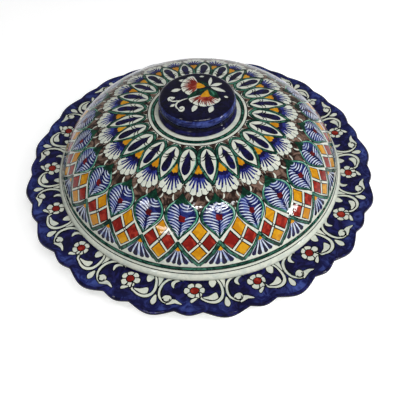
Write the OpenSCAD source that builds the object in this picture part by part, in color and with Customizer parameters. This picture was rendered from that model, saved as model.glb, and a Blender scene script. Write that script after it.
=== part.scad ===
// Covered serving dish in glazed earthenware: a shallow plate with a scalloped and fluted rim,
// and a low domed lid with a broad flat knob. Every piece is centred on one upright axis.
// Z = 0 is the surface that the foot ring stands on, and +X runs through a large rim lobe.

/* [Plate] */
// Radius of the plate at the notches between its rim lobes
notch_r = 159.5; // [150:0.5:175]
// How far the large lobes stand out from the notches
large_lobe = 5; // [0:0.5:8]
// How far the small lobes stand out from the notches
small_lobe = 2.5; // [0:0.5:8]
// Number of large lobes round the rim, with a small one between each two
lobe_pairs = 17; // [8:1:24]
// Share of each pair of lobes that the large one takes
large_share = 0.62; // [0.4:0.01:0.75]
// How softly the lobes run out into the notches, from 0 for a sharp notch to 1 for a wave
notch_soften = 0.3; // [0:0.05:1]
// Depth of the hollow pressed into each lobe, below the ridges between them
flute_depth = 1.6; // [0:0.1:3]
// Thickness of the plate's wall
plate_wall = 6.5; // [5:0.5:9]
// Thickness of the rim at its rounded edge
edge_thick = 4; // [3:0.5:5]
// Radius of the flat floor of the well
floor_r = 86; // [82:1:100]
// Depth of the well below the lid's seat
well_depth = 16; // [8:1:24]
// Width of the flat seat that the lid stands on
seat_w = 11; // [9:0.5:14]
// Rise of the rim from the seat to its edge
rim_rise = 3.5; // [0:0.5:12]

/* [Foot ring] */
// Outer radius of the foot ring where it stands
foot_r = 80; // [60:1:84]
// Width of the foot ring's standing face
foot_w = 6; // [4:0.5:10]
// Height of the foot ring
foot_h = 8; // [5:0.5:14]
// How far each side of the foot ring leans out towards the plate
foot_flare = 1.5; // [0:0.25:2.5]

/* [Lid] */
// Outer radius of the flared lip
lip_r = 133; // [128:0.5:140]
// Height of the lip
lip_h = 9; // [7:0.5:14]
// How far the lip stands out beyond the dome's skirt
lip_flare = 4.2; // [1:0.2:5]
// Rounding of the lip's lower edge
lip_round = 3.2; // [2:0.1:4]
// Width of the lip's standing face
lip_w = 4; // [2.5:0.5:4.5]
// Thickness of the dome's wall
dome_wall = 6; // [4:0.5:8]
// Height of the dome's flat crown above the seat
crown_h = 62.6; // [45:0.2:80]
// How far the crown keeps its level before the dome turns down
crown_reach = 40; // [30:0.5:50]
// How far up the dome keeps the slope that it has at the lip
skirt_reach = 43; // [30:0.5:50]
// Slope of the dome where it meets the lip, in degrees
skirt_slope = 72; // [60:1:85]
// Clearance all round between the lip and the foot of the rising rim
lid_gap = 1.5; // [0.5:0.25:3]

/* [Knob] */
// Radius of the knob's foot on the crown
knob_foot_r = 34; // [28:0.5:38]
// Rounding along the edge of the knob's foot
foot_round = 1; // [0.5:0.1:2]
// Radius of the groove round the knob's waist
waist_r = 31.2; // [22:0.2:33]
// Height of the groove above the crown
waist_h = 6; // [3:0.5:8]
// Largest radius of the knob
knob_r = 33; // [26:0.2:40]
// Height of the widest place above the crown
widest_h = 11.5; // [8.5:0.5:13]
// Radius of the knob's flat top
knob_top_r = 27; // [18:0.5:30]
// Height of the knob
knob_h = 18; // [15:0.5:26]
// How far the knob's top rises from its edge to its middle
top_crown = 0.8; // [0:0.1:1.5]

/* [Hidden] */
$fn = 180;

// Steps of each curve and of each rim lobe
LARGE_STEPS = 7;
SMALL_STEPS = 5;
CURVE_STEPS = 24;
KNOB_STEPS = 8;
LIP_STEPS = 6;
WELL_STEPS = 5;
RIM_STEPS = 3;

seat_z = foot_h + plate_wall + well_depth;
seat_out = lip_r + lid_gap;
seat_in = seat_out - seat_w;
floor_z = foot_h + plate_wall;
rim_w = notch_r - seat_out;
edge_r = edge_thick / 2;
crown_z = seat_z + crown_h;
pad_r = knob_foot_r + 1.5;

glaze_blue = "midnightblue";
glaze_cream = "ivory";
bare_clay = "burlywood";

function smooth(t) = t * t * (3 - 2 * t);
function smooth_slope(t) = 6 * t * (1 - t);
function polar(r, a) = [r * cos(a), r * sin(a)];
function bezier(p, t) =
    pow(1 - t, 3) * p[0] + 3 * t * pow(1 - t, 2) * p[1] + 3 * t * t * (1 - t) * p[2] + pow(t, 3) * p[3];
function bezier_slope(p, t) =
    3 * pow(1 - t, 2) * (p[1] - p[0]) + 6 * t * (1 - t) * (p[2] - p[1]) + 3 * t * t * (p[3] - p[2]);
function left_of(v) = [-v[1], v[0]] / norm(v);
function curve(p, steps) = [for (i = [0:steps]) bezier(p, i / steps)];

// ---- plate ----

// Angles of the rim's points: every notch has one, and each lobe is divided evenly
pitch = 360 / lobe_pairs;
half_large = large_share / 2;
rim_points = [
    for (k = [0:lobe_pairs - 1]) each [
        for (i = [0:LARGE_STEPS - 1]) [k - half_large + large_share * i / LARGE_STEPS, i / LARGE_STEPS, 1],
        for (i = [0:SMALL_STEPS - 1]) [k + half_large + (1 - large_share) * i / SMALL_STEPS, i / SMALL_STEPS, 0]
    ]
];

// Each rim point is [turn in pitches, place along its lobe, 1 on a large lobe]. A lobe is an arch
// that rises from one notch and falls to the next.
function arch(p) = let (a = sin(180 * p[1])) a * (1 - notch_soften * (1 - a));
function lobe_out(p) = arch(p) * (p[2] == 1 ? large_lobe : small_lobe);
function flute_down(p) = arch(p) * flute_depth * (p[2] == 1 ? 1 : 0.6);

// Share of the lobes that shows at radius r: none at the seat, and all of it at the edge
function lobe_share(r) = r <= seat_out ? 0 : pow(min(1, (r - seat_out) / rim_w), 1.5);

// Height of the plate's upper face, and its slope, in a cut through a notch
function well_turn(r) = max(0, min(1, (r - floor_r) / (seat_in - floor_r)));
function rim_turn(r) = max(0, (r - seat_out) / rim_w);
function face_z(r) = floor_z + well_depth * smooth(well_turn(r)) + rim_rise * rim_turn(r);
function face_slope(r) = well_depth * smooth_slope(well_turn(r)) / (seat_in - floor_r);
// The wall thins across the rim, from its full thickness at the seat to that of the edge
function edge_turn(r) = min(1, rim_turn(r) * rim_w / (rim_w - edge_r));
function wall_at(r) = plate_wall - (plate_wall - edge_thick) * smooth(edge_turn(r));
function back_z(r) = face_z(r) - wall_at(r) * norm([1, face_slope(r)]);

// Radii at which the upper face and the back are drawn
well_radii = [for (i = [0:WELL_STEPS]) floor_r + (seat_in - floor_r) * i / WELL_STEPS];
rim_radii = [for (i = [0:RIM_STEPS]) seat_out + (rim_w - edge_r) * i / RIM_STEPS];
edge_z = face_z(notch_r) - edge_r;
section = concat(
    [for (r = concat(well_radii, rim_radii)) [r, face_z(r)]],
    [for (a = [60, 0, -60]) [notch_r - edge_r, edge_z] + edge_r * [cos(a), sin(a)]],
    [for (i = [RIM_STEPS:-1:0]) [rim_radii[i], back_z(rim_radii[i])]],
    [for (i = [WELL_STEPS:-1:0]) [well_radii[i], back_z(well_radii[i])]]
);

function plate_point(s, p) =
    let (share = lobe_share(s[0]))
    concat(polar(s[0] + lobe_out(p) * share, p[0] * pitch), s[1] - flute_down(p) * share);

module dish() {
    around = len(rim_points);
    rings = len(section);
    points = [for (s = section) each [for (p = rim_points) plate_point(s, p)]];
    floor_face = [for (j = [around - 1:-1:0]) j];
    back_face = [for (j = [0:around - 1]) (rings - 1) * around + j];
    walls = [
        for (i = [0:rings - 2]) each [
            for (j = [0:around - 1])
                let (a = i * around + j, b = i * around + (j + 1) % around)
                [a, b, b + around, a + around]
        ]
    ];
    color(glaze_blue)
        polyhedron(points = points, faces = concat([floor_face], walls, [back_face]), convexity = 6);
}

// ---- foot ring ----

module foot_ring() {
    top_z = foot_h;
    color(bare_clay)
        rotate_extrude()
            polygon([
                [foot_r - foot_w, 0],
                [foot_r, 0],
                [foot_r + foot_flare, top_z],
                [foot_r - foot_w - foot_flare, top_z]
            ]);
}

// ---- lid ----

round_mid = [lip_r - lip_round, seat_z + lip_round];
skirt_end = [lip_r - lip_flare, seat_z + lip_h];
skirt_up = [-cos(skirt_slope), sin(skirt_slope)];
lip_bend = (lip_h - lip_round) / 2;
dome_curve = [[pad_r, crown_z], [pad_r + crown_reach, crown_z], skirt_end + skirt_reach * skirt_up, skirt_end];
lip_curve = [skirt_end, skirt_end - lip_bend * skirt_up, [lip_r, round_mid[1] + lip_bend], [lip_r, round_mid[1]]];

function inside_dome(t) = bezier(dome_curve, t) - dome_wall * left_of(bezier_slope(dome_curve, t));

module lid_dome() {
    wall_section = concat(
        [[0, crown_z]],
        curve(dome_curve, CURVE_STEPS),
        [for (i = [1:LIP_STEPS]) bezier(lip_curve, i / LIP_STEPS)],
        [for (i = [1:LIP_STEPS]) round_mid + polar(lip_round, -90 * i / LIP_STEPS)],
        [[round_mid[0] - lip_w, seat_z]],
        [for (i = [CURVE_STEPS:-1:0]) inside_dome(i / CURVE_STEPS)],
        [[0, crown_z - dome_wall]]
    );
    color(glaze_cream)
        rotate_extrude()
            polygon(wall_section);
}

// A cut edge that runs upright at both its ends
function sway(a, b) = let (mid_z = (a[1] + b[1]) / 2) [a, [a[0], mid_z], [b[0], mid_z], b];

module knob() {
    foot_edge = [knob_foot_r, foot_round];
    waist = [waist_r, waist_h];
    widest = [knob_r, widest_h];
    top_edge = [knob_top_r, knob_h - top_crown];
    shoulder = [
        widest,
        [knob_r, (widest[1] + 2 * top_edge[1]) / 3],
        [(knob_r + knob_top_r) / 2, top_edge[1]],
        top_edge
    ];
    color(glaze_blue)
        translate([0, 0, crown_z])
            rotate_extrude()
                polygon(concat(
                    [[0, 0], [knob_foot_r - foot_round, 0]],
                    curve(sway(foot_edge, waist), KNOB_STEPS),
                    curve(sway(waist, widest), KNOB_STEPS),
                    curve(shoulder, KNOB_STEPS),
                    [[0, knob_h]]
                ));
}

dish();
foot_ring();
lid_dome();
knob();
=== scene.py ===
"""A covered serving dish: a scalloped plate with a painted rim, and a domed lid with a flat knob.

The painting is drawn as flat shapes in strips, laid round the lid, the rim and the knob. Each strip is
cut into triangles along the outlines of its shapes, and each triangle takes the paint of the shape on top.
"""
import math
import random
from bisect import bisect_left

import bpy
from mathutils import Matrix, Vector
from mathutils.geometry import delaunay_2d_cdt

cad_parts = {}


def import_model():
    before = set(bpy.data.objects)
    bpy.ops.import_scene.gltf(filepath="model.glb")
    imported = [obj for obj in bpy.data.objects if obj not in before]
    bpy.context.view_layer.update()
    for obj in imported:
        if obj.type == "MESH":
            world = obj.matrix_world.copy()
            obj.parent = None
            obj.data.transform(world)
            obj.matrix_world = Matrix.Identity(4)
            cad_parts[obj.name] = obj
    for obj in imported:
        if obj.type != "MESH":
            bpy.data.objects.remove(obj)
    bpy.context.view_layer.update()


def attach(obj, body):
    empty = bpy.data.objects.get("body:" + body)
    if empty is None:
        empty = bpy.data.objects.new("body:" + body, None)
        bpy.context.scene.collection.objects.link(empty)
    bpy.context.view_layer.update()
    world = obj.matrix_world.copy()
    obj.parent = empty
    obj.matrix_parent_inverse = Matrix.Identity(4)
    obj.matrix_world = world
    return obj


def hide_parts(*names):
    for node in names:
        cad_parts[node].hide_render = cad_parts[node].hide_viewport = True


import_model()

MM = 0.001

# ======== The form, in mm ========
# Plate
LOBE_PAIRS = 17
PITCH = 360 / LOBE_PAIRS
LARGE_SHARE = 0.62
LARGE_LOBE, SMALL_LOBE = 5.0, 2.5
FLUTE_DEPTH = 1.6
SMALL_FLUTE = 0.6
NOTCH_R = 159.5
EDGE_R = 2.0
EDGE_INSET = 0.2  # keeps the painted edge inside the CAD model's box
NOTCH_SOFTEN = 0.3
PLATE_WALL = 6.5
FLOOR_R, FLOOR_Z, WELL_DEPTH = 86.0, 14.5, 16.0
SEAT_IN, SEAT_OUT, RIM_W, RIM_RISE = 123.5, 134.5, 25.0, 3.5
# Foot ring
FOOT_R, FOOT_W, FOOT_H, FOOT_FLARE = 80.0, 6.0, 8.0, 1.5
FOOT_CHAMFER = 0.8
# Lid
SEAT_Z, CROWN_Z = 30.5, 93.1
PAD_R, CROWN_REACH = 35.5, 40.0
PAINT_R = 33.6  # where the painted dome begins, under the knob's edge
LIP_R, LIP_ROUND, LIP_W = 133.0, 3.2, 4.0
SKIRT_END = (128.8, 39.5)
SKIRT_REACH, SKIRT_SLOPE = 43.0, 72.0
DOME_WALL = 6.0
# Knob
KNOB_FOOT_R, FOOT_ROUND = 34.0, 1.0
WAIST_R, WAIST_H = 31.2, 6.0
KNOB_R, WIDEST_H = 33.0, 11.5
KNOB_TOP_R, KNOB_H, TOP_CROWN = 27.0, 18.0, 0.8


def placed(name, data):
    """A new object in the scene."""
    ob = bpy.data.objects.new(name, data)
    bpy.context.collection.objects.link(ob)
    return ob


def lerp(a, b, t):
    return a + (b - a) * t


def smooth(t):
    t = max(0.0, min(1.0, t))
    return t * t * (3 - 2 * t)


def polar(r, x):
    """The point at radius r in the direction x, in degrees."""
    a = math.radians(x)
    return (r * math.cos(a), r * math.sin(a))


def round_place(x, r, z):
    """The point at x degrees round the axis, at radius r and height z."""
    return Vector((*polar(r, x), z))


def bezier(p, t):
    """A point of the Bezier curve with the control points p."""
    while len(p) > 1:
        p = [(lerp(a[0], b[0], t), lerp(a[1], b[1], t)) for a, b in zip(p, p[1:])]
    return p[0]


def curve(*p, n=8):
    return [bezier(list(p), i / n) for i in range(n + 1)]


def arc(mid, r, start, end, n):
    """Points of an arc from one angle to another, in degrees."""
    spokes = [polar(r, lerp(start, end, i / n)) for i in range(n + 1)]
    return [(mid[0] + x, mid[1] + y) for x, y in spokes]


def lobe_at(x):
    """Which lobe lies at x degrees: how far along its arch, 0 to 1 to 0, and whether it is a large one."""
    turn = (x / PITCH) % 1.0
    half = LARGE_SHARE / 2
    if turn < half or turn > 1 - half:
        place, large = ((turn + half) % 1.0) / LARGE_SHARE, True
    else:
        place, large = (turn - half) / (1 - LARGE_SHARE), False
    arch = math.sin(math.pi * min(1.0, place))
    return arch * (1 - NOTCH_SOFTEN * (1 - arch)), large


def face_z(r):
    """Height of the plate's upper face in a cut through a notch."""
    rise = WELL_DEPTH * smooth((r - FLOOR_R) / (SEAT_IN - FLOOR_R))
    return FLOOR_Z + rise + RIM_RISE * max(0.0, (r - SEAT_OUT) / RIM_W)


def plate_point(x, r, z):
    """The point of the plate at x degrees, from radius r and height z in a cut through a notch."""
    share = 0.0 if r <= SEAT_OUT else min(1.0, (r - SEAT_OUT) / RIM_W) ** 1.5
    arch, large = lobe_at(x)
    out = r + arch * share * (LARGE_LOBE if large else SMALL_LOBE)
    down = arch * share * FLUTE_DEPTH * (1.0 if large else SMALL_FLUTE)
    return round_place(x, out, z - down)


def rim_columns():
    """Angles at which the plate's rim is divided, with one on every notch."""
    large_steps, small_steps = 14, 9
    half = LARGE_SHARE / 2
    turns = []
    for k in range(LOBE_PAIRS):
        turns += [k - half + LARGE_SHARE * i / large_steps for i in range(large_steps)]
        turns += [k + half + (1 - LARGE_SHARE) * i / small_steps for i in range(small_steps)]
    return [t * PITCH for t in turns + [LOBE_PAIRS - half]]


def sway(a, b):
    """A cut edge that runs upright at both its ends."""
    mid = (a[1] + b[1]) / 2
    return [a, (a[0], mid), (b[0], mid), b]


def dome_profile():
    """The dome's curve, and the lid's outer face in cut, from under the knob to the lip's lowest edge."""
    inwards, upwards = polar(1, 180 - SKIRT_SLOPE)
    dome = [
        (PAD_R, CROWN_Z),
        (PAD_R + CROWN_REACH, CROWN_Z),
        (SKIRT_END[0] + SKIRT_REACH * inwards, SKIRT_END[1] + SKIRT_REACH * upwards),
        SKIRT_END,
    ]
    bend = (SKIRT_END[1] - SEAT_Z - LIP_ROUND) / 2
    lip = [
        SKIRT_END,
        (SKIRT_END[0] - bend * inwards, SKIRT_END[1] - bend * upwards),
        (LIP_R, SEAT_Z + LIP_ROUND + bend),
        (LIP_R, SEAT_Z + LIP_ROUND),
    ]
    rounded = arc((LIP_R - LIP_ROUND, SEAT_Z + LIP_ROUND), LIP_ROUND, 0, -90, 6)
    return dome, [(PAINT_R, CROWN_Z)] + curve(*dome, n=60) + curve(*lip)[1:] + rounded[1:]


# The least angle at which two stretches of a cut meet at a crease
CREASE = math.radians(40)


class Path:
    """A cut edge that can be read by the length along it."""

    def __init__(self, points):
        self.points = points
        self.lengths = [0.0]
        for a, b in zip(points, points[1:]):
            self.lengths.append(self.lengths[-1] + math.dist(a, b))

    def share(self, j):
        """How far along the path its point j lies, 0 to 1."""
        return self.lengths[j] / self.lengths[-1]

    def normal(self, i):
        """The outward normal of the stretch after point i."""
        i = max(0, min(len(self.points) - 2, i))
        a, b = self.points[i], self.points[i + 1]
        size = math.dist(a, b)
        return (-(b[1] - a[1]) / size, (b[0] - a[0]) / size)

    def soft_normal(self, i, j):
        """The normal of stretch i at its point j, shared with the next stretch unless a crease parts them."""
        here, other = self.normal(i), self.normal(2 * j - 1 - i)
        if here[0] * other[0] + here[1] * other[1] <= math.cos(CREASE):
            return here
        n = (here[0] + other[0], here[1] + other[1])
        size = math.hypot(*n)
        return (n[0] / size, n[1] / size)

    def read(self, s):
        """The point at length s, and the outward normal there."""
        s = max(0.0, min(self.lengths[-1], s))
        i = min(bisect_left(self.lengths, s, 1), len(self.lengths) - 1) - 1
        a, b = self.points[i], self.points[i + 1]
        t = (s - self.lengths[i]) / (self.lengths[i + 1] - self.lengths[i])
        here, other = self.normal(i), self.normal(i + 1 if t > 0.5 else i - 1)
        w = abs(t - 0.5)
        n = (lerp(here[0], other[0], w), lerp(here[1], other[1], w))
        size = math.hypot(*n)
        return (lerp(a[0], b[0], t), lerp(a[1], b[1], t)), (n[0] / size, n[1] / size)


# ======== Drawing in flat strips ========
def smooth_line(points, n=4, closed=False):
    """A Catmull-Rom curve through the points."""
    out = []
    m = len(points)
    for i in range(m if closed else m - 1):
        p1, p2 = points[i % m], points[(i + 1) % m]
        p0 = points[(i - 1) % m] if closed or i else (2 * p1[0] - p2[0], 2 * p1[1] - p2[1])
        p3 = points[(i + 2) % m] if closed or i + 2 < m else (2 * p2[0] - p1[0], 2 * p2[1] - p1[1])
        for k in range(n):
            t = k / n
            out.append(tuple(
                0.5 * (2 * b + (c - a) * t
                       + (2 * a - 5 * b + 4 * c - d) * t * t
                       + (3 * b - a - 3 * c + d) * t ** 3)
                for a, b, c, d in zip(p0, p1, p2, p3)))
    if not closed:
        out.append(points[-1])
    return out


def hull(points):
    """The convex outline of a few points, counter-clockwise."""
    points = sorted(set(points))

    def half(ps):
        out = []
        for p in ps:
            while len(out) > 1 and (out[-1][0] - out[-2][0]) * (p[1] - out[-2][1]) <= (
                    out[-1][1] - out[-2][1]) * (p[0] - out[-2][0]):
                out.pop()
            out.append(p)
        return out

    return half(points)[:-1] + half(points[::-1])[:-1]


# How far a line may turn in all, in radians, and still be drawn as one outline
MOST_TURN = 3.6


class Sheet:
    """Painted shapes in a strip: x in degrees round the axis, y in mm along the surface. A later shape
    covers an earlier one."""

    def __init__(self, per_degree):
        self.per_degree = per_degree  # mm in one degree at a height y
        self.shapes = []
        self.origin = (0.0, 0.0)

    def at(self, x, y=0.0):
        self.origin = (x, y)

    def fill(self, points, paint):
        x0, y0 = self.origin
        self.shapes.append(([(x0 + x, y0 + y) for x, y in points], paint))

    def blob(self, points, paint, n=4):
        self.fill(smooth_line(points, n, closed=True), paint)

    def stroke(self, path, width, paint, n=0, closed=False):
        """A brush line along the path, or where n is given, along a curve of n steps from point to point.
        width is a number, or a function of the way along, 0 to 1."""
        if n:
            path = smooth_line(path, n)
        m = len(path)
        gone = [0.0]
        for a, b in zip(path, path[1:]):
            k = self.per_degree(self.origin[1] + a[1])
            gone.append(gone[-1] + math.hypot((b[0] - a[0]) * k, b[1] - a[1]))
        cuts = []
        for i, (x, y) in enumerate(path):
            a = path[i - 1] if i or closed else path[0]
            b = path[(i + 1) % m] if i + 1 < m or closed else path[-1]
            k = self.per_degree(self.origin[1] + y)
            dx, dy = (b[0] - a[0]) * k, b[1] - a[1]
            wide = width(gone[i] / gone[-1]) if callable(width) else width
            h = wide / 2 / (math.hypot(dx, dy) or 1.0)
            cuts.append(((x - dy * h / k, y + dx * h), (x + dy * h / k, y - dx * h)))
        if closed:
            cuts.append(cuts[0])
        elif self.runs_clear(path, cuts):
            self.fill([a for a, _ in cuts] + [b for _, b in cuts[::-1]], paint)
            return
        for a, b in zip(cuts, cuts[1:]):
            outline = hull([*a, *b])
            if len(outline) > 2:
                self.fill(outline, paint)

    def pair(self, path, width, paint):
        """A brush line and its mirror image."""
        for f in (1, -1):
            self.stroke([(f * x, y) for x, y in path], width, paint)

    def runs_clear(self, path, cuts):
        """Whether the line's two sides run on with the path everywhere, so that it is one plain outline."""
        k = self.per_degree(self.origin[1] + path[0][1])
        turned, heading = 0.0, None
        for i in range(len(path) - 1):
            dx, dy = (path[i + 1][0] - path[i][0]) * k, path[i + 1][1] - path[i][1]
            for before, after in zip(cuts[i], cuts[i + 1]):
                ex, ey = (after[0] - before[0]) * k, after[1] - before[1]
                if dx * ex + dy * ey <= 0:
                    return False
            now = math.atan2(dy, dx)
            if heading is not None:
                turned += abs((now - heading + math.pi) % math.tau - math.pi)
            heading = now
        return turned < MOST_TURN


def tapered(w):
    """A line that is thin at both ends."""
    return lambda t: w * (0.12 + 0.88 * math.sin(math.pi * t) ** 0.7)


def drop(w):
    """A line that swells to a round end."""
    def width(t):
        close = 1.0 if t < 0.85 else math.sqrt(max(0.0, 1 - ((t - 0.85) / 0.15) ** 2))
        return w * (0.08 + 0.92 * t ** 1.5) * max(0.1, close)
    return width


def doubled(right):
    """A closed outline from its right side. Points on the middle line aren't repeated."""
    return right + [(-x, y) for x, y in right[::-1] if x]


def side_of(half):
    """The right side of a shape from its half widths: [(y, half width)]."""
    return smooth_line([(w, y) for y, w in half])


def two_sided(half):
    return doubled(side_of(half))


def lobe(shape, wide, length):
    """The outline of a lobe that is round at its end: shape is [(way along, share of the half width)]."""
    return doubled(smooth_line([(wide * w, length * u) for u, w in shape], 3))


def spun(points, a, at=(0.0, 0.0), k=1.0):
    """The points turned by a radians and moved to at, with k mm in one unit of x."""
    c, s = math.cos(a), math.sin(a)
    return [(at[0] + (x * c - y * s) / k, at[1] + x * s + y * c) for x, y in points]


def wander(r, a):
    return r.uniform(-a, a)


# ---- the lid's painting: y in mm outwards from the rings round the knob ----
LID_SEED = 5
LID_CELLS = 24
CELL = 360 / LID_CELLS
RINGS_R = 43.1
LID_PAINT_END = 118.0
# The dome's girth follows a sine: how far its angle goes, and how much the radius grows
GIRTH_TURN, GIRTH_GAIN = 1.35, 90


def dome_deg(y):
    """How many mm one degree takes on the dome at y."""
    turn = min(max(y, 0), LID_PAINT_END) / LID_PAINT_END * GIRTH_TURN
    return (RINGS_R + GIRTH_GAIN * math.sin(turn) / math.sin(GIRTH_TURN)) * math.pi / 180


def fan(sh, r):
    """A half blossom of seven lobes that opens outwards, with blue brush strokes from its root."""
    k = sh.per_degree(36)
    ends = []
    for f in range(-3, 4):
        ends.append((math.radians(f * 12 + wander(r, 1.2)), 22 - 0.62 * f * f + wander(r, 0.5)))

    def turned(points, a):
        return spun(points, -a, (0, 24.5), k)

    shape = [(0.15, 0.2), (0.55, 0.62), (0.8, 0.98), (0.93, 0.86), (1, 0)]
    loops = [turned(lobe(shape, 2.5, length), a) for a, length in ends]
    for loop in loops:
        sh.stroke(loop, 1, "line", closed=True)
    for loop in loops:
        sh.fill(loop, "white")
    for i in range(8):
        degrees = (i - 3.5) * 10.3 + wander(r, 1)
        reach = (22 - 0.62 * (degrees / 12) ** 2) * (0.77 + wander(r, 0.08))
        path = [(0, reach * t) for t in (0.15, 0.4, 0.6, 0.8, 1)]
        sh.stroke(turned(path, math.radians(degrees)), lambda t: 2 * (1 - 0.35 * t), "cobalt")
    for (a, first), (b, second) in list(zip(ends, ends[1:]))[1:5]:
        reach = (first + second) / 2
        sh.stroke(turned([(0, reach * t) for t in (0.76, 0.86, 0.96)], (a + b) / 2), 0.5, "line")
    cap = [(0, 26), (2.4, 27.5), (4, 29.3), (3.6, 30.6), (2.6, 30), (1.9, 31.6), (1, 30.6),
           (0.2, 32.4 + wander(r, 0.8)), (-0.8, 30.7), (-1.7, 31.6), (-2.5, 30.1), (-3.6, 30.7), (-4, 29.3),
           (-2.4, 27.5)]
    sh.blob(cap, "navy", 2)


def petal(sh, r):
    """A white petal with a dark heart, in a green border between dark lines."""
    fat = 1 + wander(r, 0.03)
    half = [(2.2, 0), (2.8, 2), (5.4, 5.3), (9.5, 7.1), (14, 7.5), (19, 7), (24, 5.4), (29, 3.4),
            (33.5, 1.5), (37.2 + wander(r, 0.7), 0)]
    half = [(y, w * fat) for y, w in half]
    sh.fill(two_sided(half), "white")
    inner = [(w * 0.86, y) for y, w in half[3:9]]
    sh.stroke(inner, tapered(2.3), "wash", 3)
    sh.stroke([(-x, y) for x, y in inner[2:]], tapered(1.7), "wash", 3)
    for f in (1, -1):
        for y0, y1 in ((8.5, 13), (10.5, 16)):
            a, b = y0 + wander(r, 0.5), y1 + wander(r, 0.8)
            path = curve((f * 0.9, a), (f * 2.4, a + 5), (f * 3.6, b + 1), (f * 6.2, b), n=6)
            sh.stroke(path, tapered(1.05), "line")
    lean = wander(r, 0.35)
    tear = [(4.6, 0), (8, 1), (12, 1.9), (16, 2.5), (21, 2.9), (25, 2.6), (27.9, 1.6), (29.2, 0)]
    sh.fill([(x + lean * (y - 16) / 12, y) for x, y in two_sided(tear)], "navy")
    for grow, paint in ((1.5, "line"), (0, "green")):
        sh.pair(side_of(half), lambda t: lerp(1.7, 1.3, t) + grow, paint)


def ochre_wedge(sh, r):
    sh.blob([(0, 19.6 + wander(r, 0.4)), (1.1, 22.6), (2.3, 26.4), (1.3, 28), (0.4, 27.2), (-0.4, 28.2),
             (-1.3, 27.6), (-2.3, 26.4), (-1.1, 22.6)], "ochre", 3)


LEAF = [(43, 0), (45.5, 0.75), (48.5, 2), (51.5, 3.9), (55, 6), (58.5, 7.2), (62, 7.5), (66, 6.9),
        (70, 5.3), (74, 3.3), (78, 1.3), (81, 0)]


def inset(gap, first, last):
    """The leaf's half widths with a margin: gap at its sides, and from first to last along it."""
    kept = [(y, w - gap) for y, w in LEAF if w > gap + 0.3 and first < y < last]
    return [(first, 0)] + kept + [(last, 0)]


def leaf_half(y):
    for (a, wa), (b, wb) in zip(LEAF, LEAF[1:]):
        if a <= y <= b:
            return lerp(wa, wb, (y - a) / (b - a))
    return 0


def leaf(sh, r):
    """A blue leaf with white barbs beside a bent midrib."""
    sh.fill(two_sided(LEAF), "line")
    sh.fill(two_sided(inset(0.4, 44.6, 79.6)), "green")
    sh.stroke([(w - 0.75, y) for y, w in LEAF[2:10]], tapered(1), "wash")
    sh.stroke([(0.75 - w, y) for y, w in LEAF[2:6]], tapered(1), "wash")
    sh.fill(two_sided(inset(1.55, 48, 76.4)), "cobalt_light")
    sh.blob([(0, 44.5), (1.5, 48.5), (3.2, 52), (1.2, 53.2), (0, 51.8), (-1.4, 53.4), (-3.4, 52.2),
             (-1.6, 48.5)], "deep_green", 2)
    lean = wander(r, 0.3) - 1.6

    def rib(y):
        return lean + 1.9 * min(1, max(0, (y - 52) / 27) * 2.2) ** 0.8

    for side, first in ((-1, 53.5), (1, 62.5)):
        y = first
        while y < 75.5:
            w = leaf_half(y) - 1.4
            if w > 0.9:
                end = y + 3.4 + wander(r, 0.3)
                edge = (side * (w + wander(r, 0.1)), y)
                root = (rib(end) + side * 0.35, end)
                sag = (lerp(root[0], edge[0], 0.36), y + 0.2)
                sh.stroke(curve(edge, sag, root, n=5), tapered(1.02 * min(1, 0.5 + w / 9)), "pale")
            y += 2.35 + wander(r, 0.15)
    cx, cy = rib(54) + 3.2, 51.2
    for ring in range(4):
        reach = 2.6 + 2.25 * ring
        points = []
        for a in range(4, 177, 16):
            aside, up = polar(reach, a)
            x, y = cx + aside * 0.66, cy + up
            if rib(y) + 0.2 < x < leaf_half(y) - 1.3:
                points.append((x, y))
        if len(points) > 3:
            sh.stroke(points, tapered(1), "pale")
    sh.stroke([(rib(y), y) for y in (52, 55, 58, 61, 65, 70, 75, 78.5)], tapered(0.8), "navy")
    spot = [(-1.2, -1), (-0.6, -2.6), (0.4, -2), (1.5, -1.6), (1.3, 0.6), (1.5, 2), (0.1, 2.3), (-1, 1.6)]
    sh.blob(spun(spot, 0, (rib(64) + 0.1, 64 + wander(r, 0.6))), "oxblood", 2)


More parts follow.
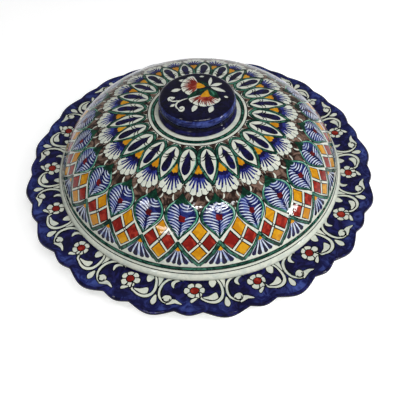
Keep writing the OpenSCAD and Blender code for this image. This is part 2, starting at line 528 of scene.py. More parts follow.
def lozenge(sh, r):
    """A diamond of four patches between crossing bars. The leaves are painted over its upper sides."""
    sh.fill(doubled([(0, 58), (3.9, 70), (7.9, 82.6), (4.2, 92), (0, 101.8)]), "white")
    sh.pair([(7.8, 82.3), (4.8, 91), (0, 101.5)], 3.2, "line")
    sh.pair([(7.9, 82), (4.9, 91), (0, 101.8)], 1.8, "green")
    mx, my = wander(r, 0.2), 82.8 + wander(r, 0.4)
    mid = (mx, my)
    top, bottom, left, right = (mx, 66.4), (mx, 97), (-6.2, my + 0.2), (6.2, my + 0.2)

    def between(a, b, narrow=1):
        return ((a[0] + b[0]) / 2 * narrow, (a[1] + b[1]) / 2)

    ul, ur = between(left, top, 0.96), between(right, top, 0.96)
    ll, lr = between(left, bottom), between(right, bottom)

    def patch(corners, paint):
        """A patch a little smaller than its corners say."""
        middle = [sum(c[i] for c in corners) / 4 for i in (0, 1)]
        loop = []
        for a, b in zip(corners, corners[1:] + corners[:1]):
            for p in (a, between(a, b)):
                loop.append(tuple(lerp(m, q, 0.97) for m, q in zip(middle, p)))
        sh.blob(loop, paint, 2)

    sh.stroke([top, ur, right, lr, bottom, ll, left, ul], 1.7, "line", closed=True)
    patch([top, ur, mid, ul], "ochre")
    patch([mid, lr, bottom, ll], "ochre")
    patch([left, ul, mid, ll], "red")
    patch([right, ur, mid, lr], "red")
    for a, b in ((ul, lr), (ur, ll)):
        for width, reach, paint in ((3.3, 1, "line"), (1.6, 1.12, "white")):
            a_end, b_end = [(lerp(mx, p[0], reach), lerp(my, p[1], reach)) for p in (a, b)]
            sh.stroke([a_end, mid, b_end], width, paint)
    k = sh.per_degree(82)
    for size, paint in ((1.9, "line"), (0.9, "white")):
        sh.fill([(mx, my - size), (mx + size / k, my), (mx, my + size), (mx - size / k, my)], paint)


def drops(sh, r):
    """A spray of drops that hangs between two lozenges."""
    sh.fill(doubled([(0, 86.5), (3.2, 92), (5.6, 97.4), (3, 99.4), (0, 100)]), "pale")
    for x, y in ((-6.3, 99.4), (-3.8, 101), (-1.3, 101.6), (1.2, 101.7), (3.7, 100.9), (6.3, 99.2)):
        end = (x + wander(r, 0.25), y + wander(r, 0.5))
        path = curve((x * 0.1, 87.5), (x * 0.5, 92.5), end)
        sh.stroke(path[:7] + curve(*path[6:], n=5)[1:], drop(4.6), "navy")
    sh.blob(doubled([(0, 84), (1.15, 85.6), (1, 88.4), (0, 89.4)]), "ochre", 3)


def brown_patch(sh, r):
    sh.blob([(-3.4, 0.6), (3.4, 0.6), (1.6, 3.4), (0, 5.6), (-1.6, 3.4)], "brown", 3)


def squiggles(sh, r):
    """White strokes on the brown ground between two leaves."""
    for f in (1, -1):
        bend = (f * (4.4 + wander(r, 0.5)), 51 + wander(r, 0.8))
        sh.stroke(curve((f * 3.2, 46), (f * 2.8, 49), bend, n=5), tapered(1.4), "white")
        sh.stroke(curve((f * 7.3, 38.5), (f * 6.2, 41), (f * 6.6, 44), n=5), tapered(0.5), "white")


def long_bands(sh, cell, count, step, rows):
    """Bands right along the strip, past one cell more than the round at each end: rows are [(from y, to y,
    paint)]."""
    sh.at(0)
    x0, x1 = -2 * cell, (count + 1) * cell
    n = int((x1 - x0) / step)
    xs = [lerp(x0, x1, i / n) for i in range(n + 1)]
    for y0, y1, paint in rows:
        sh.fill([(x, y0) for x in xs] + [(x, y1) for x in xs[::-1]], paint)


def lid_sheet():
    sh = Sheet(dome_deg)
    long_bands(sh, CELL, LID_CELLS, 1.5, [
        (-5.8, -4.9, "line"), (-4.9, -3.2, "green"), (-3.2, -2.4, "line"), (-0.3, 0.6, "line"),
        (29, 62, "brown")])
    half = CELL / 2
    for kind, (motif, shift) in enumerate((
            (brown_patch, half), (squiggles, half), (fan, half), (petal, 0), (ochre_wedge, half),
            (drops, 0), (lozenge, half), (leaf, 0)), 1):
        for k in range(-1, LID_CELLS + 1):
            sh.at(k * CELL + shift)
            motif(sh, random.Random(LID_SEED * 1000 + kind * 100 + k % LID_CELLS))
    long_bands(sh, CELL, LID_CELLS, 1.5, [
        (103.3, 104.1, "line"), (104.1, 106.1, "green"), (106.1, 107.2, "line"), (109.4, 110.2, "line")])
    return sh


# ---- the rim's painting: 17 cells, each on a large lobe, y outwards from RIM_Y0 ----
RIM_SEED = 8
RIM_Y0 = 131


def rim_deg(y):
    return (RIM_Y0 + y) * math.pi / 180


def flower(sh, r, x, y):
    """A red-centred blossom of six round petals."""
    k = sh.per_degree(y)
    turn = wander(r, 12) + 90
    turns = [math.radians(60 * i + turn + wander(r, 5)) for i in range(6)]
    reaches = [6.9 + wander(r, 0.7) for _ in turns]
    half = [(0.30, 0.8), (0.55, 1.9), (0.80, 2.45), (0.98, 1.3)]
    for a, reach in zip(turns, reaches):
        outline = [(w, u * reach) for u, w in half] + [(-w, u * reach) for u, w in half[::-1]]
        loop = spun(smooth_line(outline, 3, closed=True), a, (x, y), k / 1.06)
        sh.stroke(loop, 1.7, "line", closed=True)
        sh.fill(loop, "white")
    for wide, tall, paint in ((3.9, 3.5, "line"), (3.1, 2.8, "red")):
        turns = [t * math.pi / 4 for t in range(8)]
        sh.blob([(x + math.cos(t) * wide / k, y + math.sin(t) * tall) for t in turns], paint, 3)


def edged(sh, points, n=4):
    """A white shape with a dark line round it."""
    loop = smooth_line(points, n, closed=True)
    sh.stroke(loop, 1.4, "line", closed=True)
    sh.fill(loop, "white")


def scrolls(sh):
    """Two scrolls back to back, with their leaves and a bud."""
    left = [(-4.6, -1), (-2.6, -0.6), (-1.4, 2.4), (-0.85, 6.6), (-0.75, 11.5), (-1.4, 15.6), (-3, 18.6),
            (-5, 19.6), (-6.9, 18.2), (-7.7, 15.6), (-7.9, 14)]
    right = [(8, 1), (6.2, -0.4), (4.2, 0.2), (2.3, 2.6), (1.15, 6.6), (0.8, 11.4), (1.2, 15.6),
             (2.3, 18.8), (3.6, 21), (4.5, 20.4)]
    edged(sh, [(0, 8.5), (-0.9, 1), (-0.6, -0.9), (0.9, -0.9), (1, 1)])
    edged(sh, [(-3, 11.6), (-2.5, 14.6), (-3, 17.2), (-5, 17.6), (-7, 16.6), (-5.1, 15)], n=3)
    edged(sh, [(-2.1, 1.5), (-2.7, 5), (-3.6, 7.2), (-4.5, 5.4), (-4.7, 2.2), (-4, -0.3), (-2.6, -0.6)])
    ribbons = [(left, lambda t: 1.2 + 0.9 * math.sin(math.pi * t) ** 2),
               (right, lambda t: 1 + 1 * math.sin(math.pi * min(1, t * 1.05)) ** 2)]
    for path, width in ribbons:
        sh.stroke(path, lambda t: width(t) + 1.7, "line", 4)
    for path, width in ribbons:
        sh.stroke(path, width, "white", 4)
    sh.stroke([(1.7, 9), (1.6, 12), (2.1, 15.4), (3, 18)], lambda t: 1 - 0.85 * t, "line", 3)
    edged(sh, [(4.6, 18.4), (6.2, 19.2), (8.3, 22), (6.2, 22.3), (4, 22.6), (4, 21)], n=3)
    edged(sh, [(3.2, 15.2), (4.5, 15.6), (5, 18), (4.3, 20.6), (3.1, 19.6), (2.4, 17.2)])
    sh.stroke([(2.6, 17.6), (3.1, 19.8), (4, 20.3), (4.6, 19.2), (4.5, 17.9)], 0.9, "line", 3)
    edged(sh, [(6.8, 1.4), (5.6, 2.8), (5, 5.4), (5.1, 8.6), (4.2, 6.8), (3.9, 4.2), (4.6, 2), (5.8, 0.8)],
          n=3)
    edged(sh, [(0.1, 15.4), (0.7, 18), (0.9, 20.6), (0.2, 22.4), (-0.7, 20.8), (-0.6, 18)])


def stem(sh, x, y):
    """The stem from a blossom into the scroll beside it, and the small leaf under the blossom."""
    line = spun([(0.9, 1.2), (1.9, 3), (1.3, 5.5), (1.9, 7.4)], 0, (x, y))
    sh.stroke(curve(*line, n=7), 1.1, "line")
    edged(sh, spun([(0.9, 6.4), (0.2, 8.6), (-0.9, 10.2), (-1.1, 8.2), (-0.2, 6.8)], 0, (x, y)), n=3)


def rim_sheet():
    sh = Sheet(rim_deg)
    long_bands(sh, PITCH, LOBE_PAIRS, 1, [(-5.5, -2.2, "white"), (-2.2, -1.4, "line")])
    for k in range(-1, LOBE_PAIRS + 1):
        r = random.Random(RIM_SEED * 1000 + k % LOBE_PAIRS)
        sh.at(k * PITCH, wander(r, 0.4))
        scrolls(sh)
        x, y = -PITCH / 2 + 0.9 + wander(r, 0.3), 9.4 + wander(r, 0.5)
        flower(sh, r, x, y)
        stem(sh, x, y)
    return sh


# ---- the knob's painting, in mm across its top ----
KNOB_SEED = 3


def half_blossom(sh, r, root, turns, length):
    """White petals that open from a root, in directions in degrees, with red strokes from the root."""
    def turned(points, a):
        return spun(points, math.radians(a - 90), root)

    loop = lobe(((0.1, 0.3), (0.5, 0.75), (0.8, 1), (0.95, 0.8), (1, 0)), 3.9, length)
    for a in turns:
        sh.stroke(turned(loop, a), 1.5, "ink", closed=True)
        sh.fill(turned(loop, a), "white")
    first, last = turns[0] - 9, turns[-1] + 9
    for i in range(15):
        a = lerp(first, last, i / 14) + wander(r, 2)
        reach = length * (0.86 + wander(r, 0.08))
        path = [(0, reach * t) for t in (0.08, 0.4, 0.65, 1)]
        sh.stroke(turned(path, a), lambda t: 2.4 * (1 - 0.8 * t), "rose")


def lens(sh, start, end, wide, paint, lean=0):
    """A pointed leaf from start to end."""
    size = math.dist(start, end)
    shares = ((0.2, 0.62), (0.45, 1), (0.7, 0.86), (0.9, 0.4))
    outline = [(0, 0)] + [(-(wide / 2 + lean) * w, size * t) for t, w in shares]
    outline += [(0, size)] + [((wide / 2 - lean) * w, size * t) for t, w in shares[::-1]]
    sh.blob(spun(outline, math.atan2(start[0] - end[0], end[1] - start[1]), start), paint, 3)


def knob_sheet():
    """A spray of two half blossoms and leaves."""
    sh = Sheet(lambda y: 1)
    r = random.Random(KNOB_SEED)
    for start, end, wide in (
            ((-13.5, 7.4), (-21.6, 5.6), 4.2), ((-7.4, 18.6), (-14.8, 19.8), 3.6),
            ((-0.6, -13), (-4.6, -21.5), 4.2), ((12.2, -15.5), (9.2, -23.4), 4.4),
            ((11, 10.5), (13.1, 22.4), 3), ((11.6, 10.2), (22, 13.4), 4), ((12, 8.4), (24, 2), 4),
            ((3, 24), (7.2, 24.2), 2.2), ((22.4, -4), (25.6, -5.6), 2.4),
            ((-18.6, -11.2), (-22.4, -14), 2.6)):
        lens(sh, start, end, wide, "white")
    half_blossom(sh, r, (1.6, 11.4), [122, 150, 176, 202, 230], 15)
    half_blossom(sh, r, (6.4, -1.6), [212, 238, 264, 292, 322], 14.6)
    sh.blob([(1.6, 15.4), (7.6, 9.4), (0.6, 7.2), (0.2, 11)], "ochre", 3)
    sh.blob([(8.8, 4.8), (10.6, -3.6), (6.6, -4), (2.8, -3.2)], "ochre", 3)
    lens(sh, (2, 18.6), (10.6, 9), 3.6, "deep_green", 0.6)
    lens(sh, (10.2, 7), (-8.2, -5), 6.4, "deep_green", -0.8)
    lens(sh, (10.2, 7), (17.8, -7), 6.4, "deep_green", -0.6)
    for path in ([(9.6, 6.4), (2, 1.4), (-6.4, -4.2)], [(10.6, 6), (13.6, 0), (16.8, -5.6)]):
        sh.stroke(path, tapered(0.7), "line", 5)
    sh.stroke([(11.6, 4), (13.4, 1), (14.4, -2.4)], tapered(1.4), "green", 4)
    for path in ([(-7.6, -5.2), (-12, -6.6), (-16.4, -9.4), (-17.8, -13.4), (-16.2, -17), (-13, -17.8)],
                 [(-13, -7), (-17, -7.6), (-21, -7.4), (-23.6, -5)]):
        sh.stroke(path, tapered(1.5), "white", 5)
    for bud in ([(-12.2, -14.4), (-10.6, -17), (-11.8, -20.2), (-14.6, -20.6), (-16, -18), (-14.6, -15.4)],
                [(-18.4, -3), (-22, -1.6), (-24.6, -3.4), (-24, -6.6), (-21.2, -6), (-19.8, -4.8)]):
        sh.blob(bud, "white")
    sh.stroke([(-15.4, -14.6), (-15.2, -17), (-13.4, -18.2), (-12.4, -16.6)], 0.8, "ink", 5)
    sh.stroke([(-22.6, -3.2), (-21.6, -5), (-20.2, -4.4)], 0.7, "ink", 4)
    return sh


# ======== Paint ========
def srgb(r, g, b):
    """Linear colour from a colour written 0 to 255."""
    parts = [c / 255 for c in (r, g, b)]
    return [c / 12.92 if c <= 0.04045 else ((c + 0.055) / 1.055) ** 2.4 for c in parts]


# Each paint where it lies thick, and where it lies thin, written 0 to 255
PAINTS = {name: (srgb(*thick), srgb(*thin)) for name, (thick, thin) in {
    "white": ((214, 217, 203), (196, 203, 193)),
    "pale": ((206, 214, 228), (136, 152, 196)),
    "wash": ((70, 150, 124), (160, 198, 180)),
    "line": ((4, 12, 10), (10, 26, 20)),
    "ink": ((8, 7, 28), (16, 14, 48)),
    "green": ((8, 50, 40), (66, 124, 102)),
    "deep_green": ((4, 36, 26), (14, 74, 50)),
    "ochre": ((190, 124, 8), (212, 156, 28)),
    "red": ((120, 22, 16), (168, 54, 38)),
    "rose": ((112, 24, 18), (172, 84, 66)),
    "oxblood": ((72, 8, 14), (128, 22, 24)),
    "navy": ((8, 6, 34), (20, 16, 72)),
    "cobalt": ((16, 18, 84), (50, 60, 142)),
    "cobalt_light": ((12, 18, 72), (42, 54, 120)),
    "brown": ((34, 22, 18), (128, 102, 88)),
    "ground": ((12, 10, 44), (30, 30, 88)),
    # roll: a lighter blue for the knob's widest bulge, a painted sheen
    "roll": ((20, 26, 78), (62, 78, 146)),
}.items()}


def painted_ground_highlight(x, y):
    """A painted highlight: how much lighter the rim's ground is near the edge in the middle of the lobes, and
    in drifts.
    """
    slow, quick = math.sin(math.radians(x * 11) + 1.3), math.sin(math.radians(x * 29) + y * 0.35)
    return smooth((y - 14) / 9) * (0.35 + 0.65 * lobe_at(x)[0]) * (0.5 + 0.25 * slow + 0.25 * quick)


# The ground's colours where it is lightest, under the painted highlight
PAINTED_HIGHLIGHT_GROUND = (srgb(24, 30, 92), srgb(66, 84, 156))


def colours_at(paint, x, y):
    """The paint's thick and thin colour at a place of the strip, with the painted highlight on the rim's
    ground.
    """
    if paint != "ground":
        return PAINTS[paint]
    # The rim's ground is painted lighter near the edge of the lobes, as a highlight
    t = painted_ground_highlight(x, y)
    return [[lerp(a, b, t) for a, b in zip(*pair)] for pair in zip(PAINTS[paint], PAINTED_HIGHLIGHT_GROUND)]


# ======== Meshes ========
# Corners that are this near to one another are one point: 1 / WELD mm
WELD = 500
CUT_TOLERANCE = 1e-5


class Skin:
    """Gathers corners, each a point with its normal, map place and paint, and makes one mesh of them."""

    def __init__(self):
        self.places = {}
        self.points = []
        self.faces = []
        self.corners = []

    def vertex(self, p):
        key = tuple(round(c * WELD) for c in p)
        if key not in self.places:
            self.places[key] = len(self.points)
            self.points.append(p)
        return self.places[key]

    def face(self, corners):
        """corners: [(point in mm, normal, map place, dense colour, thin colour)], counter-clockwise from
        outside."""
        ids = [self.vertex(c[0]) for c in corners]
        kept = [i for i in range(len(ids)) if ids[i] != ids[i - 1]]
        if len(kept) > 2 and len(set(ids)) == len(kept):
            self.faces.append([ids[i] for i in kept])
            self.corners += [corners[i][1:] for i in kept]

    def build(self, name, material):
        me = bpy.data.meshes.new(name)
        me.from_pydata([[c * MM for c in p] for p in self.points], [], self.faces)
        me.polygons.foreach_set("use_smooth", [True] * len(me.polygons))
        uv = me.uv_layers.new(name="OFBake")
        uv.data.foreach_set("uv", [c for corner in self.corners for c in corner[1]])
        for index, layer in ((2, "dense"), (3, "thin")):
            colours = me.color_attributes.new(layer, "FLOAT_COLOR", "CORNER")
            colours.data.foreach_set("color", [c for corner in self.corners for c in (*corner[index], 1.0)])
        me.normals_split_custom_set([corner[0] for corner in self.corners])
        me.materials.append(material)
        return placed(name, me)


def counter_clockwise(loop):
    area = sum(a[0] * b[1] - b[0] * a[1] for a, b in zip(loop, loop[1:] + loop[:1]))
    return loop if area > 0 else loop[::-1]


def lay(skin, points, edges, faces, paints, at, stretch=1.0, order=1):
    """Cuts a sheet into triangles along the outlines in faces, the first of which is the whole sheet's, and
    lays each on the skin in the paint of the last outline round it. at(x, y) gives a point, its normal and
    its map place. The x of points is stretched, and order is -1 where the sheet's back is the outside."""
    verts, _, tris, _, _, owners = delaunay_2d_cdt(points, edges, faces, 1, CUT_TOLERANCE, True)
    spots = [(v.x / stretch, v.y) for v in verts]
    laid = [at(*spot) for spot in spots]
    for tri, owner in zip(tris, owners):
        if 0 in owner:
            paint = paints[max(owner)]
            skin.face([(*laid[i], *colours_at(paint, *spots[i])) for i in tri[::order]])


def painted_strip(skin, shapes, x_rows, y_rows, at, ground, stretch, seams=()):
    """Lays a strip on the skin. x_rows and y_rows are where it has points of its own, its outer lines
    included, and it is also cut across at the seams."""
    x0, x1, y0, y1 = x_rows[0], x_rows[-1], y_rows[0], y_rows[-1]
    points, index = [], {}

    def corner(x, y):
        key = (round(x * stretch, 4), round(y, 4))
        if key not in index:
            index[key] = len(points)
            points.append(Vector(key))
        return index[key]

    outline = [(x, y0) for x in x_rows] + [(x1, y) for y in y_rows[1:]]
    outline += [(x, y1) for x in x_rows[::-1][1:]] + [(x0, y) for y in y_rows[::-1][1:-1]]
    faces = [[corner(x, y) for x, y in outline]]
    paints = [ground]
    for shape, paint in shapes:
        xs, ys = zip(*shape)
        if max(xs) < x0 or min(xs) > x1 or max(ys) < y0 or min(ys) > y1:
            continue
        ids = [corner(x, y) for x, y in counter_clockwise(shape)]
        ids = [i for n, i in enumerate(ids) if i != ids[n - 1]]
        if len(ids) > 2:
            faces.append(ids)
            paints.append(paint)
    for x in x_rows[1:-1]:
        for y in y_rows[1:-1]:
            corner(x, y)
    edges = [(corner(x, a), corner(x, b)) for x in seams for a, b in zip(y_rows, y_rows[1:])]
    lay(skin, points, edges, faces, paints, at, stretch, -1)


def painted_disc(skin, shapes, radius, columns, at, ground):
    """Lays a disc on the skin, with its shapes in mm across it and six rings of points of its own."""
    points = [Vector(polar(radius, x)) for x in columns[:-1]]
    faces, paints = [list(range(len(points)))], [ground]
    for ring in range(1, 7):
        r = radius * ring / 7
        turns = [a * math.tau / (ring * 6) for a in range(ring * 6)]
        points += [Vector((r * math.cos(a), r * math.sin(a))) for a in turns]
    for shape, paint in shapes:
        first = len(points)
        points += [Vector(p) for p in counter_clockwise(shape)]
        faces.append(list(range(first, len(points))))
        paints.append(paint)
    lay(skin, points, [], faces, paints, at)


def turned_part(skin, cut, columns, place, paint_at, map_at, flip=1):
    """A turned surface: cut is [(r, z)], place(x, r, z) gives the point, paint_at(i) the paint of stretch i
    and map_at(x, j) the map place of point j. The outside lies to the left of the cut, seen with the axis on
    the left and z up, or to the right where flip is -1."""
    path = Path(cut)
    for i in range(len(cut) - 1):
        paint = PAINTS[paint_at(i)]
        for xa, xb in zip(columns, columns[1:]):
            ring = []
            for x, j in ((xa, i + 1), (xb, i + 1), (xb, i), (xa, i)):
                normal = round_place(x, *path.soft_normal(i, j)) * flip
                ring.append((place(x, *cut[j]), normal, map_at(x, j), *paint))
            skin.face(ring[::flip])


def all_white(i):
    return "white"


# The map's two discs, for what faces up and for what faces down: middle and radius
TOP_MAP = (0.4, 0.4, 0.395)
UNDER_MAP = (0.83, 0.83, 0.165)


def map_place(disc, x, share):
    """The map place in the direction x, where share is 0 in a disc's middle and 1 at its edge."""
    across, up = polar(disc[2] * share, x)
    return (disc[0] + across, disc[1] + up)


def disc_map(disc, share):
    """Map places in a disc, where share(j) says how far from its middle point j of a cut lies."""
    return lambda x, j: map_place(disc, x, share(j))


def even_steps(first, step):
    """Directions round the axis, from first to first once more."""
    return [first + step * i for i in range(int(360 / step) + 1)]


# How far from its ends a strip's wobble is whole, in mm
WOBBLE_FADE = 4


def wobble(sheet, reach, drift, y0, y1, seed):
    """The sheet's shapes with each point moved by up to reach mm, as an unsteady hand does, though less near
    y0 and y1, and whole motifs moved by up to drift degrees."""
    r = random.Random(seed)
    slow = [(n, r.uniform(0, 6.3), r.uniform(0, 6.3)) for n in (3, 5, 8)]
    waves = []
    for _ in range(5):
        waves.append((r.randint(5, 60), r.uniform(0.03, 0.30), r.uniform(0, 6.3), r.uniform(0, 6.3)))
    out = []
    for shape, paint in sheet.shapes:
        moved = []
        for x, y in shape:
            fade = smooth((y - y0) / WOBBLE_FADE) * smooth((y1 - y) / WOBBLE_FADE)
            a = math.radians(x)
            dx = sum(math.sin(n * a + m * y + p) for n, m, p, q in waves) / 5
            dy = sum(math.sin(n * a + m * y + q) for n, m, p, q in waves) / 5
            far = sum(math.sin(n * a + p + 0.9 * math.sin(0.03 * y + q)) for n, p, q in slow) / 3
            moved.append((x + drift * far + reach * fade * dx / sheet.per_degree(y), y + reach * fade * dy))
        out.append((moved, paint))
    return out


# How far the lid's painting is turned from the plate's lobes at the front, in degrees, and how much further
# it has come round at the back
LID_TURN, LID_GAIN = 5.4, 2.4
# Where cells stand to one side: degrees from the front, reach, and how far
LID_SWAY = ((15.0, 11.0, 2.0), (-10.0, 7.0, -0.9))


def lid_turned(x):
    """Where a drawn direction lies on the lid, whose cells aren't all the same width."""
    ahead = (x + LID_TURN + 270) % 360 - 180
    sway = sum(size * math.exp(-((ahead - at) / reach) ** 2) for at, reach, size in LID_SWAY)
    return x + LID_TURN + LID_GAIN / 2 * (1 + math.sin(math.radians(x + 20))) + sway


# Further in than this, y on the lid lies under the knob
PAD_Y = -9


def make_lid(material):
    skin = Skin()
    dome, outer = dome_profile()
    path = Path(outer)
    first = next(i for i, p in enumerate(outer) if p[0] >= RINGS_R)
    rings_s = path.lengths[first] - (outer[first][0] - RINGS_R)
    whole = path.lengths[-1]

    def at(x, y):
        (r, z), n = path.read(y + rings_s)
        x = lid_turned(x)
        reach = r if y < PAD_Y else y + rings_s + PAD_R
        return round_place(x, r, z), round_place(x, *n), map_place(TOP_MAP, x, reach / (whole + PAD_R))

    columns = even_steps(-CELL / 2, 2.5)
    rows = [lerp(-rings_s, whole - rings_s, i / 44) for i in range(45)]
    shapes = wobble(lid_sheet(), reach=0.7, drift=1.1, y0=0.6, y1=103.2, seed=11)
    painted_strip(skin, shapes, columns, rows, at, ground="white", stretch=2.0)
    columns = [lid_turned(x) for x in columns]
    # The pad under the knob
    pad = [(0.0, CROWN_Z), outer[0]]
    pad_map = disc_map(TOP_MAP, lambda j: pad[j][0] / (whole + PAD_R))
    turned_part(skin, pad, columns, round_place, all_white, pad_map)
    # The lip's seat and the inside
    inner, near = [], 0.002
    for i in range(41):
        t = i / 40
        (x0, z0), (x1, z1) = bezier(dome, max(0, t - near)), bezier(dome, min(1, t + near))
        size = math.hypot(x1 - x0, z1 - z0)
        mid = bezier(dome, t)
        inner.append((mid[0] + (z1 - z0) / size * DOME_WALL, mid[1] - (x1 - x0) / size * DOME_WALL))
    under = [outer[-1], (LIP_R - LIP_ROUND - LIP_W, SEAT_Z)] + inner[::-1] + [(0.0, CROWN_Z - DOME_WALL)]
    run = Path(under)
    under_map = disc_map(UNDER_MAP, lambda j: 1 - run.share(j))
    turned_part(skin, under, columns, round_place, all_white, under_map)
    return skin.build("painted_lid", material)


# What the plate's edge bead takes of the map beyond the rim
BEAD_MAP = 6
# How far to both sides of a place its slope is measured
NEAR = 0.05


def make_dish(material):
    skin = Skin()
    columns = rim_columns()
    inner_r, outer_r = 124.5, NOTCH_R - EDGE_R - EDGE_INSET

    def surface(x, y):
        r = y + RIM_Y0
        return plate_point(x, r, face_z(r))

    def on_map(x, r):
        return map_place(TOP_MAP, x, r / (outer_r + BEAD_MAP))

    def at(x, y):
        across = surface(x + NEAR, y) - surface(x - NEAR, y)
        along = surface(x, y + NEAR) - surface(x, y - NEAR)
        return surface(x, y), along.cross(across).normalized(), on_map(x, y + RIM_Y0)

    rows = [lerp(inner_r, outer_r, i / 11) - RIM_Y0 for i in range(12)]
    notches = [PITCH * (k + s * LARGE_SHARE / 2) for k in range(LOBE_PAIRS) for s in (-1, 1)][1:]
    shapes = wobble(rim_sheet(), reach=0.5, drift=0.6, y0=rows[0], y1=rows[-1], seed=21)
    painted_strip(skin, shapes, columns, rows, at, ground="ground", stretch=2.6, seams=notches)
    # The edge bead
    edge_z = face_z(NOTCH_R) - EDGE_R
    bead = [(outer_r, face_z(outer_r))] + arc((outer_r, edge_z), EDGE_R, 75, -75, 7)
    bead += [(outer_r, edge_z - EDGE_R * 0.98)]

    def ground_and(paint):
        """The ground on the first three stretches, and then the other paint."""
        return lambda i: "ground" if i < 3 else paint

    def bead_map(x, j):
        return on_map(x, outer_r + BEAD_MAP * j / (len(bead) - 1))

    turned_part(skin, bead, columns, plate_point, ground_and("ink"), bead_map)

    # The underside
    def back(r):
        thin = smooth((r - SEAT_OUT) / (outer_r - SEAT_OUT))
        slope = (face_z(r + NEAR) - face_z(r - NEAR)) / (2 * NEAR)
        return (r, face_z(r) - lerp(PLATE_WALL, 2 * EDGE_R, thin) * math.hypot(1, slope))

    under = [bead[-1]] + [back(lerp(outer_r - 1, FLOOR_R, i / 22)) for i in range(23)] + [(0.0, back(0)[1])]
    run = Path(under)
    under_map = disc_map(UNDER_MAP, lambda j: 1 - run.share(j))
    turned_part(skin, under, columns, plate_point, ground_and("white"), under_map)
    # The seat and the well
    radii = [30, 60] + [lerp(FLOOR_R, inner_r, i / 16) for i in range(17)]
    well = [(0.0, FLOOR_Z)] + [(r, face_z(r)) for r in radii]
    turned_part(skin, well, columns, round_place, all_white, lambda x, j: on_map(x, well[j][0]))
    return skin.build("painted_dish", material)


def make_knob(material):
    skin = Skin()
    foot_edge, waist, widest = (KNOB_FOOT_R, FOOT_ROUND), (WAIST_R, WAIST_H), (KNOB_R, WIDEST_H)
    top_edge = (KNOB_TOP_R, KNOB_H - TOP_CROWN)
    shoulder = [
        widest,
        (KNOB_R, (widest[1] + 2 * top_edge[1]) / 3),
        ((KNOB_R + KNOB_TOP_R) / 2, top_edge[1]),
        top_edge,
    ]
    cut = [(0.0, 0.0), (KNOB_FOOT_R - FOOT_ROUND, 0.0)] + curve(*sway(foot_edge, waist), n=10)
    cut += curve(*sway(waist, widest), n=10)[1:] + curve(*shoulder, n=12)[1:]
    cut = [(r, z + CROWN_Z) for r, z in cut]
    columns = even_steps(0, 3.0)
    run = Path(cut)
    # The roll band over the knob's widest bulge is painted lighter, as a sheen
    bands = ((4.0, "ground"), (8.2, "ink"), (15.3, "roll"), (KNOB_H, "ink"))

    def paint_at(i):
        height = (cut[i][1] + cut[i + 1][1]) / 2 - CROWN_Z
        return "white" if i < 1 else next(paint for top, paint in bands if height < top)

    turned_part(skin, cut, columns, round_place, paint_at, disc_map(UNDER_MAP, run.share), flip=-1)

    def top_at(x, y):
        r = math.hypot(x, y)
        lean = 2 * TOP_CROWN * r / KNOB_TOP_R ** 2
        n = Vector((x / max(r, 1e-6) * lean, y / max(r, 1e-6) * lean, 1)).normalized()
        map_at = [mid + TOP_MAP[2] * c / KNOB_TOP_R for mid, c in zip(TOP_MAP, (x, y))]
        return Vector((x, y, CROWN_Z + KNOB_H - TOP_CROWN * (r / KNOB_TOP_R) ** 2)), n, map_at

    painted_disc(skin, knob_sheet().shapes, KNOB_TOP_R, columns, top_at, "ink")
    return skin.build("painted_knob", material)


def make_foot(material):
    skin = Skin()
    low, high = FOOT_R - FOOT_W, FOOT_R
    cut = [(low - FOOT_FLARE, FOOT_H), (low, FOOT_CHAMFER), (low + FOOT_CHAMFER, 0.0),
           (high - FOOT_CHAMFER, 0.0), (high, FOOT_CHAMFER), (high + FOOT_FLARE, FOOT_H),
           (low - FOOT_FLARE, FOOT_H)]

    def map_at(x, j):
        return (x / 360, 0.1 + 0.8 * j / 6)

    turned_part(skin, cut, even_steps(0, 3.0), round_place, all_white, map_at, flip=-1)
    return skin.build("bare_foot", material)


# ======== Materials ========
class Nodes:
    """The nodes of a new material or world."""

    def __init__(self, owner):
        self.owner = owner
        owner.use_nodes = True
        self.tree = owner.node_tree
        self.tree.nodes.clear()

    def add(self, kind, **values):
        node = self.tree.nodes.new(kind)
        for key, value in values.items():
            setattr(node, key, value)
        return node

    def feed(self, value, socket):
        """Links an output to the socket, or writes a number or a colour on it."""
        if hasattr(value, "is_output"):
            self.tree.links.new(value, socket)
        elif isinstance(value, (int, float)):
            socket.default_value = value
        else:
            socket.default_value = (*value, 1.0)

    def made(self, kind, inputs, output=0, **values):
        """A new node's output. inputs says what goes into its sockets, by their names or numbers."""
        node = self.add(kind, **values)
        for name, value in inputs.items():
            self.feed(value, node.inputs[name])
        return node.outputs[output]

    def finish(self, kind, shader):
        self.feed(shader, self.add(kind).inputs["Surface"])
        return self.owner

    def place(self):
        return self.made("ShaderNodeTexCoord", {}, "Object")

    def noise(self, scale, detail, roughness, vector, distortion=0.0):
        inputs = {"Vector": vector, "Scale": scale, "Detail": detail, "Roughness": roughness}
        return self.made("ShaderNodeTexNoise", {**inputs, "Distortion": distortion}, "Fac")

    def span(self, value, low, high, to_low=0.0, to_high=1.0):
        """The value spread softly from its range low to high over another one."""
        inputs = {"Value": value, "From Min": low, "From Max": high, "To Min": to_low, "To Max": to_high}
        return self.made("ShaderNodeMapRange", inputs, "Result", interpolation_type="SMOOTHSTEP")

    def mix(self, share, a, b):
        node = self.add("ShaderNodeMix", data_type="RGBA")
        for value, name in ((share, "Factor"), (a, "A"), (b, "B")):
            self.feed(value, next(s for s in node.inputs if s.name == name and s.enabled))
        return next(s for s in node.outputs if s.enabled)

    def math(self, operation, a, b):
        return self.made("ShaderNodeMath", {0: a, 1: b}, operation=operation)

    def bump(self, strength, distance, height, over=None):
        """The normal of a surface with a height, which lies over another such normal where one is given."""
        inputs = {"Strength": strength, "Distance": distance, "Height": height}
        return self.made("ShaderNodeBump", {**inputs, "Normal": over} if over else inputs, "Normal")

    def seen(self, mirrored=1.0):
        """1 for what the camera sees, and mirrored for what shows in reflections or through glass."""
        path = self.add("ShaderNodeLightPath").outputs
        other = self.math("MAXIMUM", path["Is Glossy Ray"], path["Is Transmission Ray"])
        return self.math("MAXIMUM", path["Is Camera Ray"], self.math("MULTIPLY", other, mirrored))


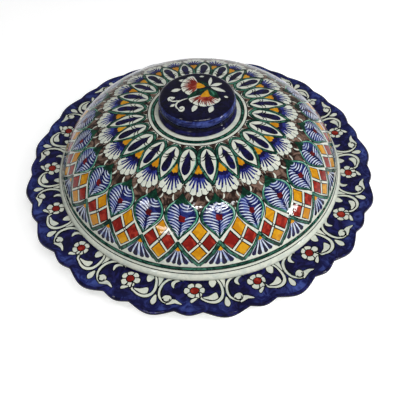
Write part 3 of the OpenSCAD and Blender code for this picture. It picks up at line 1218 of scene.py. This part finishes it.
def glaze(name):
    """Brushed paint under a clear, slightly uneven glaze."""
    n = Nodes(bpy.data.materials.new(name))
    place = n.place()
    dense = n.made("ShaderNodeAttribute", {}, "Color", attribute_name="dense")
    thin = n.made("ShaderNodeAttribute", {}, "Color", attribute_name="thin")
    brush = n.noise(110, 4, 0.6, place, 1.6)
    colour = n.mix(n.span(brush, 0.42, 0.66), dense, thin)
    grain = n.noise(620, 3, 0.6, place)
    wave = n.bump(0.8, 0.0012, n.noise(58, 3, 0.5, place))
    return n.finish("ShaderNodeOutputMaterial", n.made("ShaderNodeBsdfPrincipled", {
        "Base Color": n.mix(n.span(grain, 0.40, 0.60, 0.0, 0.05), colour, (0.02, 0.02, 0.03)),
        "Roughness": n.span(n.noise(60, 3, 0.5, place), 0.35, 0.7, 0.05, 0.12),
        "IOR": 1.5,
        "Specular IOR Level": 0.20,
        "Normal": n.bump(0.12, 0.0002, n.noise(480, 2, 0.5, place), wave),
    }))


def bare_clay(name):
    """Unglazed fired clay."""
    n = Nodes(bpy.data.materials.new(name))
    place = n.place()
    cloud = n.span(n.noise(60, 5, 0.6, place), 0.35, 0.68)
    grit = n.span(n.noise(900, 3, 0.7, place), 0.58, 0.72)
    colour = n.mix(cloud, srgb(176, 128, 98), srgb(204, 164, 132))
    return n.finish("ShaderNodeOutputMaterial", n.made("ShaderNodeBsdfPrincipled", {
        "Base Color": n.mix(grit, colour, srgb(126, 88, 68)),
        "Roughness": n.span(n.noise(200, 4, 0.6, place), 0.3, 0.7, 0.72, 0.92),
        "Normal": n.bump(0.5, 0.0003, n.noise(700, 5, 0.7, place)),
    }))


# ======== The pieces ========
for piece, node, body, finish in (
        (make_dish(glaze("rim_glaze")), "dish", "plate", "plate_glaze"),
        (make_foot(bare_clay("foot_clay")), "foot_ring", "plate", "bare_clay"),
        (make_lid(glaze("dome_glaze")), "lid_dome", "lid", "lid_glaze"),
        (make_knob(glaze("top_glaze")), "knob", "lid", "knob_glaze")):
    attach(piece, body)
    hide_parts(node)


# ======== Stage, light and camera ========
FLOOR_SIZE = 3.0
FLOOR_COLOUR = (0.90, 0.90, 0.90)
# How much the floor shines to the camera and in reflections
FLOOR_LIFT = 0.42
# The world's strength as light, and the share of its white that shows in reflections and through glass
WORLD_LIGHT = 0.13
MIRRORED_WHITE = 0.2


def stage_material(name, colour):
    """A pale matt surface, a little lighter to the camera and in reflections, that keeps the shadows."""
    n = Nodes(bpy.data.materials.new(name))
    cloudy = n.mix(n.noise(3, 2, 0.5, n.place()), colour, [c * 0.985 for c in colour])
    matt = n.made("ShaderNodeBsdfDiffuse", {"Color": cloudy})
    glow = n.made("ShaderNodeEmission", {"Strength": n.math("MULTIPLY", n.seen(), FLOOR_LIFT)})
    return n.finish("ShaderNodeOutputMaterial", n.made("ShaderNodeAddShader", {0: matt, 1: glow}))


def floor():
    me = bpy.data.meshes.new("floor")
    corners = [(-1, -1), (1, -1), (1, 1), (-1, 1)]
    me.from_pydata([(FLOOR_SIZE * x, FLOOR_SIZE * y, 0) for x, y in corners], [], [[0, 1, 2, 3]])
    me.materials.append(stage_material("floor_white", FLOOR_COLOUR))
    ob = placed("floor", me)


def area_light(name, place, size, power, mirrored):
    """A rectangle of light that faces the dish."""
    light = bpy.data.lights.new(name, "AREA")
    light.shape = "RECTANGLE"
    light.size, light.size_y = size
    light.energy = power
    ob = placed(name, light)
    ob.location = place
    ob.rotation_euler = (Vector((0, 0, 0.05)) - ob.location).to_track_quat("-Z", "Y").to_euler()
    ob.visible_glossy = mirrored


def world():
    """A dim white world that is plain white to the camera."""
    n = Nodes(bpy.data.worlds.new("studio"))
    plain, white = [n.made("ShaderNodeBackground", {"Color": (1, 1, 1), "Strength": strength})
                    for strength in (WORLD_LIGHT, 1.0)]
    mixed = n.made("ShaderNodeMixShader", {0: n.seen(MIRRORED_WHITE), 1: plain, 2: white})
    bpy.context.scene.world = n.finish("ShaderNodeOutputWorld", mixed)


def camera():
    """The camera that the outlines of the rim, the lip and the knob in the photo were fitted with."""
    tilt, roll, turn = 0.892536, -0.0343728, math.radians(-0.9)
    rotation = Matrix.Rotation(math.pi / 2 - tilt, 4, "X") @ Matrix.Rotation(roll, 4, "Z")
    place = Vector((-0.0005, -0.3199, 0.3667))
    cam = bpy.data.cameras.new("camera")
    cam.lens = 43.06
    cam.sensor_width = 36
    ob = placed("camera", cam)
    ob.matrix_world = Matrix.Rotation(turn, 4, "Z") @ Matrix.Translation(place) @ rotation
    bpy.context.scene.camera = ob


floor()
world()
# Wide soft light, and small windows that show in the glaze
for row in (
        ("soft_top", (1.05, -0.80, 1.30), (1.6, 1.2), 17.0, False),
        ("soft_left", (-1.4, -0.3, 0.9), (1.0, 1.0), 0.6, False),
        ("window_front", (0.34, -0.68, 1.48), (0.46, 0.10), 6.8, True),
        ("window_top", (-0.10, -0.62, 1.52), (0.16, 0.07), 2.6, True),
        ("window_left", (-0.62, -1.18, 0.92), (0.27, 0.085), 1.9, True),
        ("window_side", (-0.86, -0.46, 1.26), (0.16, 0.065), 1.2, True),
        ("window_right", (1.42, -0.58, 0.42), (0.12, 0.18), 4.4, True)):
    area_light(*row)
camera()

view = bpy.context.scene.view_settings
view.view_transform = "Standard"
bpy.context.view_layer.update()
